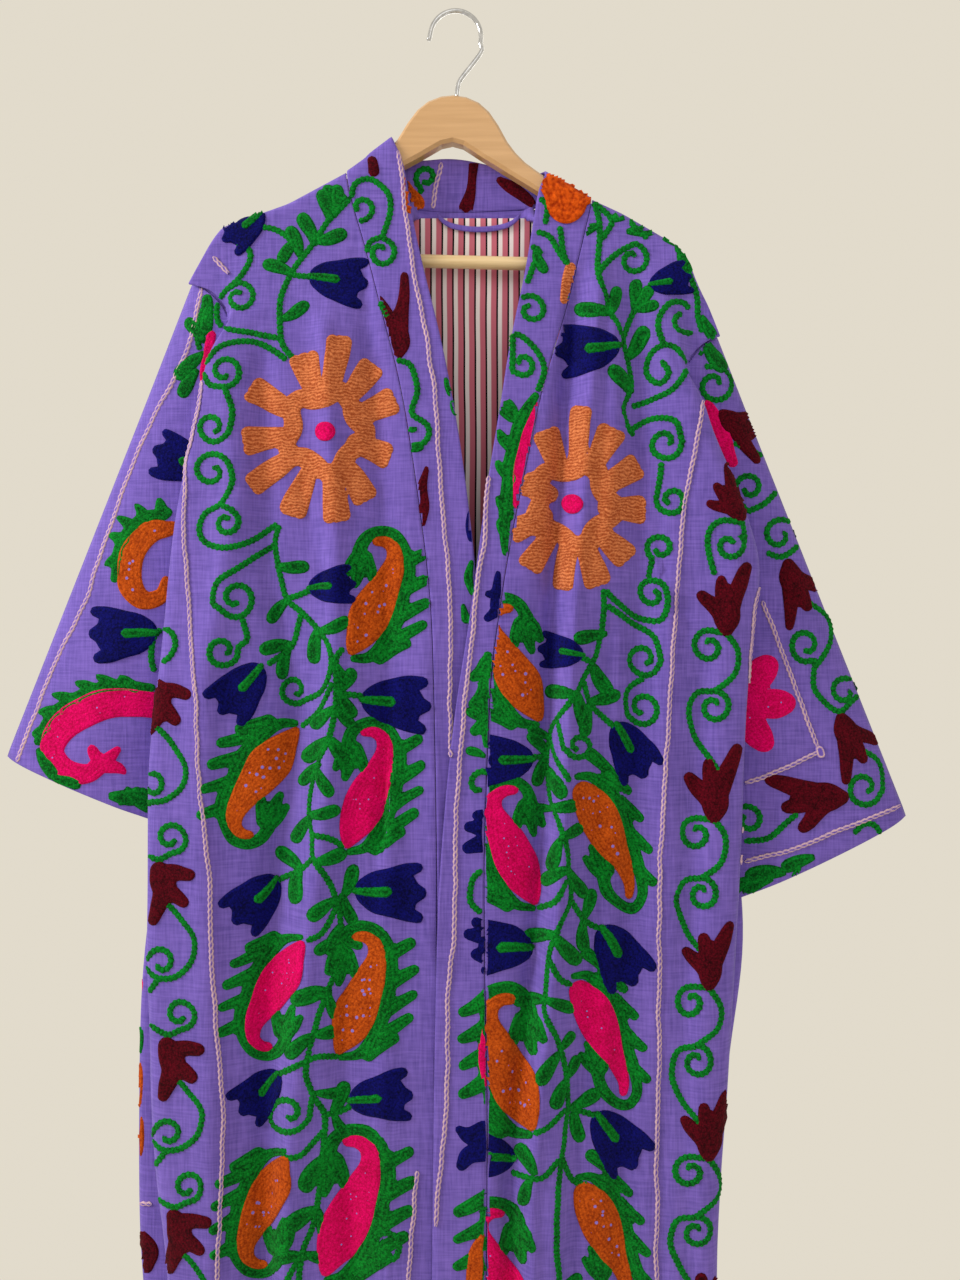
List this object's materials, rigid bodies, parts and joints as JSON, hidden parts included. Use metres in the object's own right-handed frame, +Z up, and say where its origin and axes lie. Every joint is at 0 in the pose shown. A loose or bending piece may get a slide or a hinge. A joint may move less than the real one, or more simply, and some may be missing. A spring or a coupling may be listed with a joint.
{
  "type": "long kimono jacket on a hanger",
  "caption": "Long open jacket of violet cotton with embroidered vines and flowers, wide straight sleeves and a straight collar band, hung on a flat wooden hanger.",
  "frame": {"origin": "the inner top of the hanger's hook, where it rests on a rod", "axes": "+X to the viewer's right as the front is seen, +Y away from the viewer towards the jacket's back, +Z up"},
  "size_m": [0.851, 0.0928, 1.3195],
  "materials": {
    "violet_cotton": "matt, plain weave with wool-like chain stitch embroidery",
    "striped_lining": "matt, woven stripes",
    "lacquered_wood": "clear lacquer",
    "chrome_wire": "polished"
  },
  "bodies": {
    "root": {"back_panel": "violet_cotton", "front_left": "violet_cotton", "front_right": "violet_cotton", "sleeve_left": "violet_cotton", "sleeve_right": "violet_cotton", "collar_band": "violet_cotton", "back_lining": "striped_lining", "hanging_loop": "violet_cotton", "hanger_body": "lacquered_wood", "hanger_bar": "lacquered_wood", "hanger_hook": "chrome_wire"}
  },
  "joints": []
}
